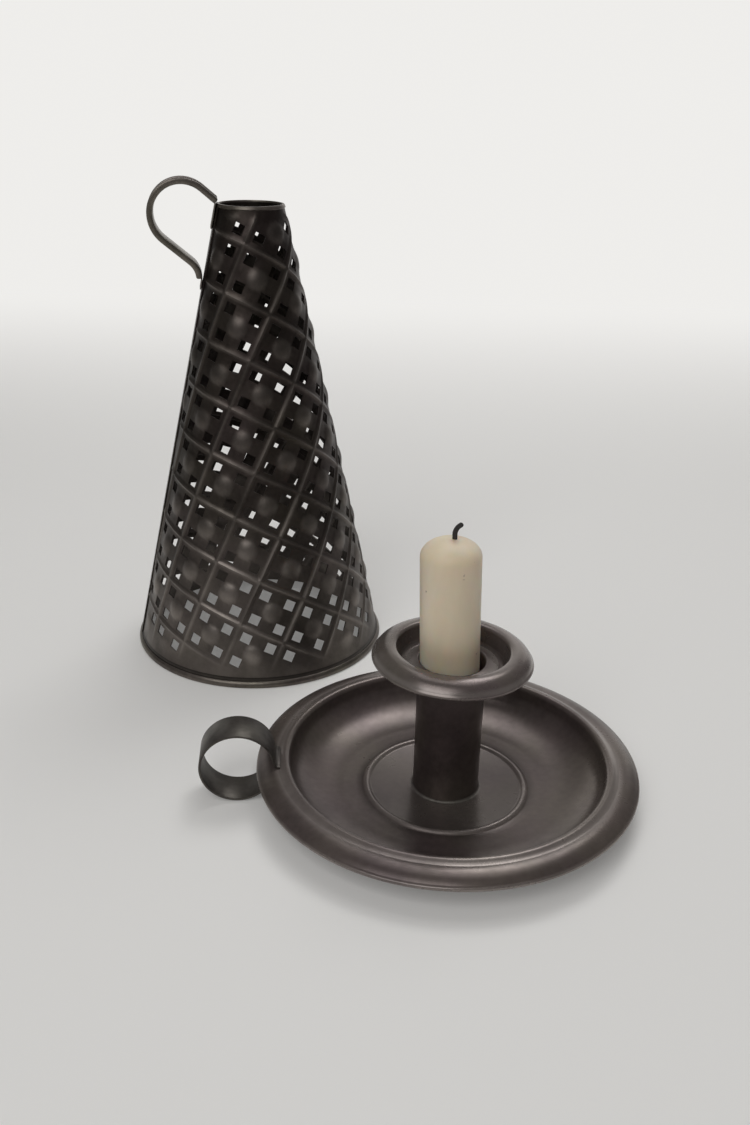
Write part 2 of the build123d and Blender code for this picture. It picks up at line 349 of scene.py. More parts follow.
# Solder: a thin grey fillet run round the foot of the tube, which holds it to the dish. It
# is cast in place from soft solder, so it is duller and paler than the tin.
solder_gap = 0.05 * mm
solder_share = 0.6  # of the fillet's room that the thin run of solder fills
solder_low, solder_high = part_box("socket_solder_fillet")
solder_inside = socket_bore + socket_wall + solder_gap
solder_size = solder_share * (solder_high.z - solder_low.z)
solder_hollow = (solder_inside + solder_size, solder_low.z + solder_size)
solder_section = [(solder_inside, solder_low.z)] + arc(solder_hollow, solder_size, -90, -180, 6)
solder = turned("socket_solder_ring", solder_section + solder_section[:1], steps=96)
solder_grey = tin_material(
    "solder_grey",
    metal=0.6,
    dark=(0.09, 0.08, 0.075),
    pale=(0.2, 0.185, 0.175),
    wear_and_sheen_colour=(0.3, 0.28, 0.27),
    smooth=0.4,
    dull=0.6,
    cloud_scale=90,
)
solder.data.materials.append(solder_grey)
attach(solder, "chamberstick")
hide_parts("socket_solder_fillet")


# Drip pan: a small deep saucer pressed like the dish, threaded on the tube and caught under
# its collar, a little askew. The rounded rim is paler, partly polished by wiping and partly
# painted sheen, and painted shade darkens the corner between the floor and the wall.
pan_floor = 52.6 * mm
pan_wall_radius = 19.6 * mm
pan_depth = 7.6 * mm
pan_corner = (2.5 * mm, 2.5 * mm)
pan_rim_rise = 0.8 * mm
pan_rim_radius = 6.88 * mm
pan_lip_radius = 1.4 * mm
pan_rim_start = 100
pan_rim_end = 20
pan_edge = 28.75 * mm
pan_edge_turn = 30
pan_tilt = radians(1.5)
pan_sag = 0.6 * mm
pan_hole = socket_bore + socket_wall + solder_gap
pan_crest = (
    pan_edge - pan_rim_radius * cos(radians(pan_edge_turn)),
    pan_floor + pan_depth + pan_rim_rise - pan_rim_radius,
)
pan_lip = arc(pan_crest, pan_rim_radius - pan_lip_radius, pan_rim_start, pan_rim_start, 1)[0]
pan_top, pan_under = saucer_rim(
    (pan_wall_radius, pan_floor + sheet),
    pan_corner,
    pan_lip,
    pan_lip_radius,
    pan_rim_start,
    pan_crest,
    pan_rim_radius,
    pan_rim_start,
    pan_rim_end,
)
pan_section = [(pan_hole, pan_floor + sheet)] + pan_top + pan_under + [(pan_hole, pan_floor)]
pan = turned("drip_pan_pressing", pan_section + pan_section[:1], steps=128)


def pan_wear_and_sheen(x, y, z):
    """Wear and painted sheen on the crest and the edge of the rim."""
    r = hypot(x, y)
    return max(0.4 * near(r, pan_crest[0], 5 * mm), 0.7 * near(r, pan_edge, 2 * mm))


def pan_painted_shade(x, y, z):
    """Painted shade in the corner between the floor and the wall."""
    return 0.4 * near(hypot(x, y), pan_wall_radius, 4 * mm) * (z < pan_floor + 2 * mm)


def put(piece, place, turn):
    """Turn a finished piece, move it to its place and leave both in its mesh."""
    bpy.ops.object.select_all(action="DESELECT")
    piece.select_set(True)
    bpy.context.view_layer.objects.active = piece
    piece.location = place
    piece.rotation_euler = turn
    bpy.ops.object.transform_apply(location=True, rotation=True, scale=True)


note(pan, "wear_and_sheen", pan_wear_and_sheen)
note(pan, "painted_shade", pan_painted_shade)
pan_middle = pan_floor + pan_depth / 2
pan_fall = pan_middle * (1 - cos(pan_tilt)) - pan_sag
put(pan, (-pan_middle * sin(pan_tilt), 0, pan_fall), (0, pan_tilt, 0))
pan_tin = tin_material(
    "pan_tin",
    metal=0.55,
    dark=(0.114, 0.096, 0.09),
    pale=(0.2, 0.172, 0.162),
    wear_and_sheen_colour=(0.34, 0.305, 0.285),
    smooth=0.22,
    dull=0.32,
    cloud_scale=45,
)
pan.data.materials.append(pan_tin)
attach(pan, "chamberstick")
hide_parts("drip_pan")


# Finger ring: a strip of tin bent into a loop. Its upper end lies on the crest of the dish's
# rim as a short tab, and the loop comes back under the rim. Both ends are soldered.
ring_azimuth = radians(185.1)
ring_radius = 14.1 * mm
ring_strip = 0.9 * mm
ring_width = 14.0 * mm
ring_foot_gap = 0.5 * mm
ring_tab_lift = 0.5 * mm
ring_corner = 0.25 * mm
ring_tab_start = 100  # degrees from level outwards, as the loop's two ends
ring_tab_end = 95
ring_loop_start = 174
ring_loop_end = -174.4
ring_turn = [(64.3 * mm, 14.6 * mm), (64.85 * mm, 15.1 * mm)]  # from the tab into the loop
ring_middle = (dish_crest[0] + ring_radius, ring_foot_gap + ring_radius)
ring_line_radius = ring_radius - ring_strip / 2


def thicken(piece, thickness, offset):
    """Give a bare sheet its thickness: on both sides at offset 0, inwards at -1."""
    solid = piece.modifiers.new("thickness", "SOLIDIFY")
    solid.thickness = thickness
    solid.offset = offset
    bpy.ops.object.modifier_apply(modifier=solid.name)


def bent_strip(name, line, width, thickness, corner):
    """A line drawn across into a band and thickened on both sides, with its long edges eased."""
    piece = new_line(name, line)
    bpy.ops.mesh.select_all(action="SELECT")
    bpy.ops.transform.translate(value=(0, -width / 2, 0))
    bpy.ops.mesh.extrude_region_move(TRANSFORM_OT_translate={"value": (0, width, 0)})
    bpy.ops.object.mode_set(mode="OBJECT")
    thicken(piece, thickness, 0)
    eased = piece.modifiers.new("eased_edges", "BEVEL")
    eased.width = corner
    eased.segments = 2
    eased.limit_method = "ANGLE"
    eased.angle_limit = radians(60)
    bpy.ops.object.modifier_apply(modifier=eased.name)
    bpy.ops.object.mode_set(mode="EDIT")
    bpy.ops.mesh.select_all(action="SELECT")
    bpy.ops.mesh.normals_make_consistent(inside=False)
    bpy.ops.object.mode_set(mode="OBJECT")
    bpy.ops.object.shade_smooth_by_angle(angle=radians(40))
    return piece


ring_tab = arc(dish_crest, dish_rim_radius + ring_tab_lift, ring_tab_start, ring_tab_end, 2)
ring_loop = arc(ring_middle, ring_line_radius, ring_loop_start, ring_loop_end, 72)
ring_line = ring_tab + ring_turn + ring_loop
ring = bent_strip("finger_ring_strip", ring_line, ring_width, ring_strip, ring_corner)
put(ring, (0, 0, 0), (0, 0, ring_azimuth))
ring_tin = tin_material(
    "ring_tin",
    metal=0.8,
    dark=(0.055, 0.049, 0.046),
    pale=(0.125, 0.115, 0.108),
    wear_and_sheen_colour=(0.3, 0.27, 0.25),
    smooth=0.4,
    dull=0.54,
    cloud_scale=60,
)
ring.data.materials.append(ring_tin)
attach(ring, "chamberstick")
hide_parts("finger_ring")


# Candle: a short household candle of ivory wax, a little loose in the socket, so that it
# leans to the finger ring's side. Its top is melted to a low dome, and dust and soot have
# settled in the wax.
candle_radius = 10.9 * mm
candle_foot = 1.1 * mm
candle_shoulder = 97.4 * mm
candle_dome = 5.0 * mm
lean_height = 27.5 * mm  # the candle leans about this height, the middle of the tube
lean_aside = 1.03 * mm
shoulder_melt = 1.6 * mm
candle_lean = atan(lean_aside / lean_height)
candle_tip = candle_shoulder + candle_dome
candle_round = candle_dome + shoulder_melt
candle_side = candle_tip - candle_round
dome_turns = [radians(90 * i / 16) for i in range(16)]
dome = [(candle_radius * cos(a), candle_side + candle_round * sin(a)) for a in dome_turns]
candle_section = [(0, candle_foot), (candle_radius, candle_foot)]
candle_section += [(candle_radius, candle_side * i / 12) for i in range(1, 12)]
candle = turned("candle_wax", candle_section + dome + [(0, candle_tip)], steps=72)
lean_place = (lean_height * sin(candle_lean), 0, lean_height * (1 - cos(candle_lean)))
put(candle, lean_place, (0, -candle_lean, 0))

wax = bpy.data.materials.new("ivory_wax")
wax.use_nodes = True
nodes = wax.node_tree.nodes
links = wax.node_tree.links
shader = nodes["Principled BSDF"]
shader.inputs["Subsurface Weight"].default_value = 0.8
shader.inputs["Subsurface Radius"].default_value = (1.0, 0.6, 0.35)
shader.inputs["Subsurface Scale"].default_value = 9 * mm
place = nodes.new("ShaderNodeTexCoord")
streaks = nodes.new("ShaderNodeMapping")
streaks.inputs["Scale"].default_value = (1, 1, 0.35)
clouds = nodes.new("ShaderNodeTexNoise")
clouds.inputs["Scale"].default_value = 70.0
clouds.inputs["Detail"].default_value = 5.0
ivory = nodes.new("ShaderNodeValToRGB")
ivory.color_ramp.elements[0].position = 0.3
ivory.color_ramp.elements[0].color = (0.72, 0.62, 0.46, 1)
ivory.color_ramp.elements[1].position = 0.7
ivory.color_ramp.elements[1].color = (0.84, 0.75, 0.59, 1)
specks = nodes.new("ShaderNodeTexNoise")
specks.inputs["Scale"].default_value = 310.0
speck_mask = nodes.new("ShaderNodeMapRange")
speck_mask.inputs["From Min"].default_value = 0.72
speck_mask.inputs["From Max"].default_value = 0.78
soil = nodes.new("ShaderNodeMix")
soil.data_type = "RGBA"
soil.inputs["B"].default_value = (0.22, 0.17, 0.12, 1)
gloss = nodes.new("ShaderNodeMapRange")
gloss.inputs["To Min"].default_value = 0.38
gloss.inputs["To Max"].default_value = 0.6
dents = nodes.new("ShaderNodeBump")
dents.inputs["Strength"].default_value = 0.25
dents.inputs["Distance"].default_value = 0.5 * mm
links.new(place.outputs["Object"], streaks.inputs["Vector"])
links.new(streaks.outputs["Vector"], clouds.inputs["Vector"])
links.new(place.outputs["Object"], specks.inputs["Vector"])
links.new(clouds.outputs["Fac"], ivory.inputs["Fac"])
links.new(specks.outputs["Fac"], speck_mask.inputs["Value"])
links.new(speck_mask.outputs["Result"], soil.inputs["Factor"])
links.new(ivory.outputs["Color"], soil.inputs["A"])
links.new(soil.outputs["Result"], shader.inputs["Base Color"])
links.new(clouds.outputs["Fac"], gloss.inputs["Value"])
links.new(gloss.outputs["Result"], shader.inputs["Roughness"])
links.new(clouds.outputs["Fac"], dents.inputs["Height"])
links.new(dents.outputs["Normal"], shader.inputs["Normal"])
candle.data.materials.append(wax)
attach(candle, "candle")
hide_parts("candle")


# Wick: a plaited cotton cord cast into the candle. What stands out of the wax is charred
# and has bent over to the right.
wick_radius = 0.9 * mm
wick_stub = 1.5 * mm
wick_bend_radius = 4.0 * mm
wick_bend = radians(65)
wick_sunk = 6 * mm
wick_aside = 1.2 * mm
wick_end = (0.5 * mm, 0, 0.2 * mm)
wick_taper = 0.45  # thickness of the burnt end as a share of the cord's
bpy.ops.object.select_all(action="DESELECT")
bpy.ops.mesh.primitive_circle_add(vertices=12, radius=wick_radius)
wick = bpy.context.object
wick.name = "wick_cord"
wick.data.name = "wick_cord"
bpy.ops.object.mode_set(mode="EDIT")
bpy.ops.mesh.select_all(action="SELECT")
bpy.ops.transform.translate(value=(wick_aside, 0, candle_tip - wick_sunk))
for rise in (wick_sunk, wick_stub):
    bpy.ops.mesh.extrude_region_move(TRANSFORM_OT_translate={"value": (0, 0, rise)})
bend_centre = (wick_aside + wick_bend_radius, 0, candle_tip + wick_stub)
bpy.ops.mesh.spin(steps=8, angle=-wick_bend, center=bend_centre, axis=(0, 1, 0))
bpy.ops.mesh.extrude_region_move(TRANSFORM_OT_translate={"value": wick_end})
bpy.ops.transform.resize(value=(wick_taper, wick_taper, wick_taper))
bpy.ops.mesh.edge_face_add()
bpy.ops.mesh.select_all(action="SELECT")
bpy.ops.mesh.remove_doubles(threshold=0.01 * mm)
bpy.ops.mesh.normals_make_consistent(inside=False)
bpy.ops.object.mode_set(mode="OBJECT")
bpy.ops.object.shade_smooth_by_angle(angle=radians(60))
put(wick, lean_place, (0, -candle_lean, 0))

char = bpy.data.materials.new("charred_cotton")
char.use_nodes = True
nodes = char.node_tree.nodes
links = char.node_tree.links
shader = nodes["Principled BSDF"]
shader.inputs["Roughness"].default_value = 0.9
place = nodes.new("ShaderNodeTexCoord")
plait = nodes.new("ShaderNodeTexNoise")
plait.inputs["Scale"].default_value = 1500.0
soot = nodes.new("ShaderNodeValToRGB")
soot.color_ramp.elements[0].color = (0.012, 0.011, 0.01, 1)
soot.color_ramp.elements[1].color = (0.06, 0.054, 0.052, 1)
fray = nodes.new("ShaderNodeBump")
fray.inputs["Strength"].default_value = 0.6
fray.inputs["Distance"].default_value = 0.3 * mm
links.new(place.outputs["Object"], plait.inputs["Vector"])
links.new(plait.outputs["Fac"], soot.inputs["Fac"])
links.new(plait.outputs["Fac"], fray.inputs["Height"])
links.new(soot.outputs["Color"], shader.inputs["Base Color"])
links.new(fray.outputs["Normal"], shader.inputs["Normal"])
wick.data.materials.append(char)
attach(wick, "candle")
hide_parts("wick")


# Shade: a flat sector of tin, embossed with a square lattice of ribs and round bosses and
# punched with four square holes to each cell, then rolled into a cone. It is laid out flat
# here as the smith lays it out, and rolled up afterwards.
shade_place = (-84.164 * mm, 125.249 * mm, 0)
seam_azimuth = radians(189.4)
shade_radius = 57.1 * mm
shade_top_radius = 13.7 * mm
shade_height = 198.8 * mm
shade_sheet = 0.6 * mm
cell = 21.0 * mm
hole_side = 4.5 * mm
rib_land = 4.8 * mm
rib_half_width = 1.25 * mm
rib_height = 0.55 * mm
boss_radius = 4.9 * mm
boss_height = 1.0 * mm
cell_rise = 90.5 * mm
top_margin = 4.5 * mm
base_margin = 11.0 * mm
seam_margin = 8.0 * mm
base_fade = (5 * mm, 20 * mm)  # the embossing runs out between these distances from an edge
top_fade = (2.5 * mm, 5 * mm)
seam_fade = (3.5 * mm, 6 * mm)
wear_reach = 130 * mm  # the sheet is paler towards its base over this height
relief_wear_and_sheen = 0.22  # wear and painted sheen on the ribs and bosses at the top of the shade
low_relief_wear_and_sheen = 0.2  # and how much further at its base
base_paling = 0.32  # how much paler the plain sheet grows at its base
trim = 0.3 * mm
cells_each_way = 8
half_angle = atan((shade_radius - shade_top_radius) / shade_height)
slant_top = shade_top_radius / sin(half_angle)
slant_base = shade_radius / sin(half_angle)
half_sector = pi * sin(half_angle)
first_cell = slant_base - cell_rise
hole_offset = (cell - rib_land - hole_side) / 2
hole_near = hole_offset - hole_side / 2
hole_far = hole_offset + hole_side / 2
rib_foot = cell / 2 - rib_half_width
# Mesh lines from a cell's middle to its edge: over the boss, past a hole and up the rib.
grid_lines = [0, 0.36 * hole_near, 0.7 * hole_near, hole_near, 0.98 * boss_radius]
grid_lines += [hole_far - 0.3 * hole_side, hole_far, rib_foot, rib_foot + rib_half_width / 2, cell / 2]
grid_faces = 2 * (len(grid_lines) - 1)


def flat_place(u, v):
    """A point of the lattice on the flat sector, measured from its tip."""
    return (u - v) / sqrt(2), first_cell + (u + v) / sqrt(2)


def in_cell(u, v):
    """A point of the lattice as measured from the middle of its cell."""
    return u - cell * round(u / cell), v - cell * round(v / cell)


def is_punched(u, v):
    """True inside a hole that keeps clear of the edges and the seam."""
    du, dv = in_cell(u, v)
    if not (hole_near < abs(du) < hole_far and hole_near < abs(dv) < hole_far):
        return False
    hole_u = u - du + hole_offset * (1 if du > 0 else -1)
    hole_v = v - dv + hole_offset * (1 if dv > 0 else -1)
    x, y = flat_place(hole_u, hole_v)
    slant = hypot(x, y)
    from_seam = half_sector - abs(atan2(x, y))
    clear_of_edges = slant_top + top_margin < slant < slant_base - base_margin
    return clear_of_edges and from_seam > 0 and slant * sin(from_seam) > seam_margin


def ease(value, start, end):
    """Rise from nothing to one between two values, without a corner."""
    share = min(max((value - start) / (end - start), 0), 1)
    return share * share * (3 - 2 * share)


def relief(u, v):
    """Height of the embossing over the plain sheet."""
    du, dv = in_cell(u, v)
    x, y = flat_place(u, v)
    slant = hypot(x, y)
    from_seam = slant * (half_sector - abs(atan2(x, y)))
    to_rib = cell / 2 - max(abs(du), abs(dv))
    rib = rib_height * (1 - ease(to_rib, 0, rib_half_width))
    boss = boss_height * cos(pi / 2 * min(hypot(du, dv) / boss_radius, 1)) ** 0.8
    at_base = ease(slant_base - slant, *base_fade)
    at_top = ease(slant - slant_top, *top_fade)
    at_seam = ease(from_seam, *seam_fade)
    return (rib + boss) * at_base * at_top * at_seam


bpy.ops.object.select_all(action="DESELECT")
bpy.ops.mesh.primitive_grid_add(x_subdivisions=grid_faces, y_subdivisions=grid_faces, size=cell)
cone = bpy.context.object
cone.name = "shade_pierced_sheet"
cone.data.name = "shade_pierced_sheet"
for vertex in cone.data.vertices:
    steps = [round(c * grid_faces / cell) for c in vertex.co[:2]]
    u, v = [grid_lines[abs(s)] * (1 if s > 0 else -1) for s in steps]
    vertex.co = (u - cells_each_way * cell, v - cells_each_way * cell, 0)
for direction in ((cell, 0, 0), (0, cell, 0)):
    repeat = cone.modifiers.new("cells", "ARRAY")
    repeat.count = 2 * cells_each_way + 1
    repeat.use_relative_offset = False
    repeat.use_constant_offset = True
    repeat.constant_offset_displace = direction
    repeat.use_merge_vertices = True
    repeat.merge_threshold = 0.01 * mm
    bpy.ops.object.modifier_apply(modifier=repeat.name)


def select_faces(mesh, chosen):
    """Select the faces whose middle passes a test, and nothing else."""
    bpy.ops.object.mode_set(mode="EDIT")
    bpy.ops.mesh.select_mode(type="FACE")
    bpy.ops.mesh.select_all(action="DESELECT")
    bpy.ops.object.mode_set(mode="OBJECT")
    for face in mesh.polygons:
        face.select = chosen(*face.center[:2])
    bpy.ops.object.mode_set(mode="EDIT")


def is_spare(u, v):
    """True outside the sector, with a quarter of a cell to spare, and inside the holes."""
    x, y = flat_place(u, v)
    slant = hypot(x, y)
    outside = slant < slant_top - cell / 4 or slant > slant_base + cell / 4
    past_seam = abs(x) * cos(half_sector) - y * sin(half_sector) > cell / 4
    return outside or past_seam or is_punched(u, v)


select_faces(cone.data, is_spare)
bpy.ops.mesh.delete(type="FACE")
bpy.ops.object.mode_set(mode="OBJECT")
lattice = [tuple(vertex.co[:2]) for vertex in cone.data.vertices]
# The ribs and bosses are paler, partly worn and partly painted sheen, and the whole sheet grows paler
# towards its base.
wear_and_sheen = cone.data.attributes.new("wear_and_sheen", "FLOAT", "POINT")
for vertex, (u, v) in zip(cone.data.vertices, lattice):
    height = relief(u, v)
    x, y = flat_place(u, v)
    slant = hypot(x, y)
    to_base = ease(slant, slant_base - wear_reach, slant_base)
    raised = min(height / rib_height, 1)
    on_relief = raised * (relief_wear_and_sheen + low_relief_wear_and_sheen * to_base)
    wear_and_sheen.data[vertex.index].value = on_relief + base_paling * to_base**2
    vertex.co = (x, y, height)
bpy.ops.object.mode_set(mode="EDIT")
for side in (-1, 1):
    seam_edge = (side * cos(half_sector), -sin(half_sector), 0)
    bpy.ops.mesh.select_all(action="SELECT")
    bpy.ops.mesh.bisect(plane_co=(0, 0, 0), plane_no=seam_edge, clear_outer=True)
bpy.ops.object.mode_set(mode="OBJECT")


def rolled(x, y, height):
    """A point of the flat sector on the rolled cone, with the seam on the +X side."""
    slant = hypot(x, y)
    azimuth = pi + atan2(x, y) / sin(half_angle)
    radius = slant * sin(half_angle) + height * cos(half_angle)
    rise = (slant_base - slant) * cos(half_angle) + height * sin(half_angle)
    return radius * cos(azimuth), radius * sin(azimuth), rise


for vertex in cone.data.vertices:
    vertex.co = rolled(*vertex.co)
bpy.ops.object.mode_set(mode="EDIT")
for level, side in ((trim, -1), (shade_height - trim, 1)):
    bpy.ops.mesh.select_all(action="SELECT")
    bpy.ops.mesh.bisect(plane_co=(0, 0, level), plane_no=(0, 0, side), clear_outer=True)
bpy.ops.mesh.select_all(action="SELECT")
bpy.ops.mesh.flip_normals()
bpy.ops.object.mode_set(mode="OBJECT")
thicken(cone, shade_sheet, -1)
bpy.ops.object.shade_smooth_by_angle(angle=radians(45))
put(cone, shade_place, (0, 0, seam_azimuth))

pierced = tin_material(
    "pierced_tin",
    metal=0.95,
    dark=(0.023, 0.0185, 0.0165),
    pale=(0.069, 0.058, 0.052),
    wear_and_sheen_colour=(0.34, 0.305, 0.275),
    smooth=0.38,
    dull=0.54,
    cloud_scale=45,
)
cone.data.materials.append(pierced)
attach(cone, "shade")
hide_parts("shade_cone")


# Seam: the sheet's two straight edges lap over each other and are soldered flat, in a plain
# strip from the hoop to the top.
lap_width = 7.0 * mm
lap_foot = 3.25 * mm
bpy.ops.object.select_all(action="DESELECT")
bpy.ops.mesh.primitive_grid_add(x_subdivisions=4, y_subdivisions=24, size=1)
lap = bpy.context.object
lap.name = "shade_seam_lap"
lap.data.name = "shade_seam_lap"
lap_base = slant_base - lap_foot / cos(half_angle)
for vertex in lap.data.vertices:
    slant = slant_top + (lap_base - slant_top) * (vertex.co.y + 0.5)
    across = vertex.co.x * lap_width / slant
    x, y, z = rolled(slant * sin(across), slant * cos(across), shade_sheet)
    vertex.co = (-x, -y, z)
bpy.ops.object.mode_set(mode="EDIT")
bpy.ops.mesh.select_all(action="SELECT")
bpy.ops.mesh.flip_normals()
bpy.ops.object.mode_set(mode="OBJECT")
thicken(lap, shade_sheet, -1)
bpy.ops.object.shade_smooth_by_angle(angle=radians(45))
put(lap, shade_place, (0, 0, seam_azimuth))
lap.data.materials.append(pierced)
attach(lap, "shade")
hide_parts("shade_cone")


# Top hem: the sheet's upper edge is folded outwards and pressed flat, so that it is smooth
# to the hand and shows as a pale line.
hem_height = 1.6 * mm
hem_bulge = 0.4 * mm
hem_shadow = 0.05 * mm  # how far the fold stands inside the sheet


def cone_radius(height):
    """Outside radius of the cone at a height."""
    return shade_radius - height * tan(half_angle)


hem_foot = shade_height - hem_height
hem_section = [
    (cone_radius(hem_foot), hem_foot),
    (cone_radius(hem_foot) + hem_bulge, hem_foot + 0.4 * mm),
    (cone_radius(shade_height) + hem_bulge, shade_height - 0.3 * mm),
    (cone_radius(shade_height) + 0.15 * mm, shade_height),
    (cone_radius(shade_height) - 0.5 * mm, shade_height),
    (cone_radius(shade_height) - shade_sheet - hem_shadow, shade_height - 0.4 * mm),
    (cone_radius(shade_height) - shade_sheet - hem_shadow, shade_height - 0.8 * mm),
]
hem = turned("shade_top_hem", hem_section + hem_section[:1], steps=96)
put(hem, shade_place, (0, 0, seam_azimuth))
rubbed_tin = tin_material(
    "rubbed_tin",
    metal=0.8,
    dark=(0.08, 0.07, 0.062),
    pale=(0.2, 0.18, 0.16),
    wear_and_sheen_colour=(0.4, 0.37, 0.34),
    smooth=0.3,
    dull=0.46,
    cloud_scale=60,
)
hem.data.materials.append(rubbed_tin)
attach(hem, "shade")
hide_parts("shade_cone")


# Base hoop: a half-round hoop of wire soldered round the foot of the cone, which stiffens
# it and stands on the table.
hoop_height = 3.2 * mm
hoop_bulge = 1.2 * mm
crease_top = 4.6 * mm  # painted shade lies as a dark line between the hoop and the sheet up to here
crease_gap = 0.08 * mm
hoop_section = []
for turn in range(-90, 91, 15):
    height = hoop_height / 2 * (1 + sin(radians(turn)))
    hoop_section.append((cone_radius(height) + solder_gap + hoop_bulge * cos(radians(turn)), height))
hoop_section.append((cone_radius(crease_top) + crease_gap, crease_top))
hoop = turned("shade_base_wire", hoop_section + hoop_section[:1], steps=144)
put(hoop, shade_place, (0, 0, seam_azimuth))
# Painted shade on the top of the hoop, where it meets the sheet in a crease.
note(hoop, "painted_shade", lambda x, y, z: float(z > hoop_height - 0.1 * mm))
hoop.data.materials.append(rubbed_tin)
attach(hoop, "shade")
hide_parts("shade_base_hoop")


# Strap handle: a band of tin with both long edges folded over, bent to a round loop and
# soldered on the seam, with its upper foot just under the top edge and its tail lower down.
strap_width = 11.0 * mm
strap_sheet = 0.6 * mm
strap_hem_width = 2.4 * mm
strap_hem_sheet = 2.58 * mm
strap_corner = 0.2 * mm
strap_hem_corner = 0.8 * mm
strap_loop_radius = 11.8 * mm
strap_clear = 1.6 * mm
strap_loop_drop = 4.2 * mm
strap_slope = radians(39)
strap_upper_foot = 10.0 * mm
strap_lower_bend = 10.0 * mm
strap_lower_foot = 2.5 * mm
strap_hem_stop = 9  # the folded edges end at this point of the lower bend
strap_seat = shade_sheet / cos(half_angle) + solder_gap
along_cone = Vector((sin(half_angle), -cos(half_angle)))
strap_top = Vector((shade_top_radius + strap_seat + strap_sheet, shade_height))
strap_upper_end = strap_top + strap_upper_foot * along_cone
loop_middle = strap_top + Vector((strap_clear + strap_loop_radius, -strap_loop_drop))
to_top = strap_top - loop_middle
loop_run = sqrt(to_top.length**2 - strap_loop_radius**2)
loop_start = atan2(to_top.y, to_top.x) - atan2(loop_run, strap_loop_radius)
loop_end = strap_slope - pi / 2
loop_line = arc(loop_middle, strap_loop_radius, degrees(loop_start), degrees(loop_end), 40)
tail = Vector(loop_line[-1])
tail_fall = tail.x - cone_radius(tail.y) - strap_seat
tail_fall /= cos(strap_slope) + tan(half_angle) * sin(strap_slope)
strap_meet = tail - tail_fall * Vector((cos(strap_slope), sin(strap_slope)))
bend_turn = pi / 2 - strap_slope + half_angle
bend_run = strap_lower_bend * tan(bend_turn / 2)
bend_start = strap_meet + bend_run * Vector((cos(strap_slope), sin(strap_slope)))
bend_middle = bend_start + strap_lower_bend * Vector((sin(strap_slope), -cos(strap_slope)))
bend_first = degrees(atan2(bend_start.y - bend_middle.y, bend_start.x - bend_middle.x))
bend_line = arc(bend_middle, strap_lower_bend, bend_first, bend_first + degrees(bend_turn), 10)
strap_end = strap_meet + (bend_run + strap_lower_foot) * along_cone
hem_line = [tuple(strap_top)] + loop_line + bend_line[:strap_hem_stop]
strap_line = [tuple(strap_upper_end), tuple(strap_top)] + loop_line + bend_line + [tuple(strap_end)]


def outward(line, distance):
    """The same line moved sideways, to its left."""
    moved = []
    for i, point in enumerate(line):
        before = Vector(line[max(i - 1, 0)])
        after = Vector(line[min(i + 1, len(line) - 1)])
        along = (after - before).normalized()
        moved.append((point[0] - along.y * distance, point[1] + along.x * distance))
    return moved


strap_parts = []
hem_aside = (strap_width - strap_hem_width) / 2
for name, line, aside, width, thickness, corner in (
    ("shade_strap_band", strap_line, 0, strap_width - strap_hem_width, strap_sheet, strap_corner),
    ("strap_hem_left", hem_line, hem_aside, strap_hem_width, strap_hem_sheet, strap_hem_corner),
    ("strap_hem_right", hem_line, -hem_aside, strap_hem_width, strap_hem_sheet, strap_hem_corner),
):
    strip = bent_strip(name, outward(line, thickness / 2), width, thickness, corner)
    put(strip, (0, aside, 0), (0, 0, 0))
    strap_parts.append(strip)
bpy.ops.object.select_all(action="DESELECT")
for strip in strap_parts:
    strip.select_set(True)
strap = strap_parts[0]
bpy.context.view_layer.objects.active = strap
bpy.ops.object.join()
put(strap, shade_place, (0, 0, seam_azimuth))
strap.data.materials.append(rubbed_tin)
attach(strap, "shade")
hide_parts("shade_strap")


# Floor: a plain pale sheet that lies flat under the object and sweeps up behind it. Far back
# it shows as an even pale ground, and near the object it keeps the shadow.
floor_half = 1.5
sweep_radius = 0.35
sweep_rise = 0.72
shadow_end = 0.3  # metres behind the middle of the dish, where the even ground starts to take over
ground_start = 1.0  # where the even ground is all that shows
ground_near = 0.15  # share of the even ground near the object, which keeps the shadow light
bpy.ops.object.select_all(action="DESELECT")
bpy.ops.mesh.primitive_plane_add(size=2 * floor_half)
floor = bpy.context.object
floor.name = "studio_floor"
bpy.ops.object.mode_set(mode="EDIT")
bpy.ops.mesh.select_mode(type="EDGE")
bpy.ops.mesh.select_all(action="DESELECT")
bpy.ops.object.mode_set(mode="OBJECT")
for edge in floor.data.edges:
    edge.select = all(floor.data.vertices[i].co.y > 0 for i in edge.vertices)
bpy.ops.object.mode_set(mode="EDIT")
bpy.ops.mesh.spin(steps=24, angle=pi / 2, center=(0, floor_half, sweep_radius), axis=(-1, 0, 0))
bpy.ops.mesh.extrude_region_move(TRANSFORM_OT_translate={"value": (0, 0, sweep_rise)})
bpy.ops.object.mode_set(mode="OBJECT")
bpy.ops.object.shade_smooth()
pale = bpy.data.materials.new("pale_floor")
pale.use_nodes = True
nodes = pale.node_tree.nodes
links = pale.node_tree.links
paper = nodes["Principled BSDF"]
paper.inputs["Base Color"].default_value = (0.87, 0.86, 0.84, 1)
paper.inputs["Roughness"].default_value = 0.9
ground = nodes.new("ShaderNodeEmission")
ground.inputs["Color"].default_value = (0.86, 0.85, 0.83, 1)
place = nodes.new("ShaderNodeTexCoord")
parts = nodes.new("ShaderNodeSeparateXYZ")
far_back = nodes.new("ShaderNodeMapRange")
far_back.interpolation_type = "SMOOTHSTEP"
far_back.inputs["From Min"].default_value = shadow_end
far_back.inputs["From Max"].default_value = ground_start
far_back.inputs["To Min"].default_value = ground_near
path = nodes.new("ShaderNodeLightPath")
seen = nodes.new("ShaderNodeMath")
seen.operation = "MAXIMUM"
seen_through = nodes.new("ShaderNodeMath")
seen_through.operation = "MAXIMUM"
share = nodes.new("ShaderNodeMath")
share.operation = "MULTIPLY"
blend = nodes.new("ShaderNodeMixShader")
